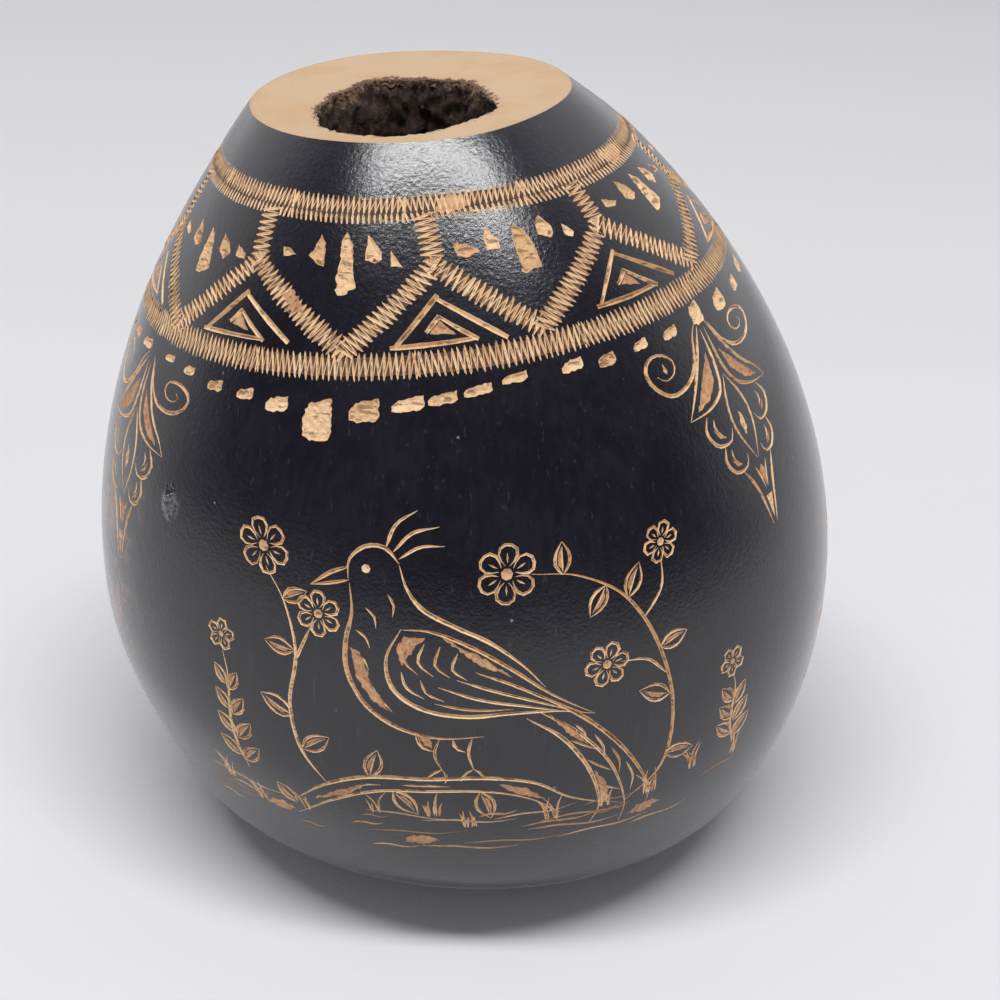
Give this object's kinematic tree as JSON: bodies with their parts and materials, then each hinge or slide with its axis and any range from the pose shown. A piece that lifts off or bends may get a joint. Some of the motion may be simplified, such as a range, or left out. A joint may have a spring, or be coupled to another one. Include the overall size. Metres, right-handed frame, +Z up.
{
  "type": "carved gourd vessel",
  "caption": "Hollow dyed gourd with a leaning egg-shaped shell, a sawn mouth and carved bands; stands on a flat foot.",
  "frame": {"origin": "on the table, under the middle of the body's outline", "axes": "+Z up, front towards -Y, the stem axis leans towards -X"},
  "size_m": [0.1154, 0.115, 0.1185],
  "materials": {
    "black_skin": "satin black dyed gourd skin with cream cuts",
    "pale_rind": "sanded tan gourd wall",
    "dark_pith": "rough crumbly dark pith"
  },
  "bodies": {
    "root": {"dyed_skin": "black_skin", "gourd_wall": "pale_rind", "pith_lining": "dark_pith"}
  },
  "joints": []
}
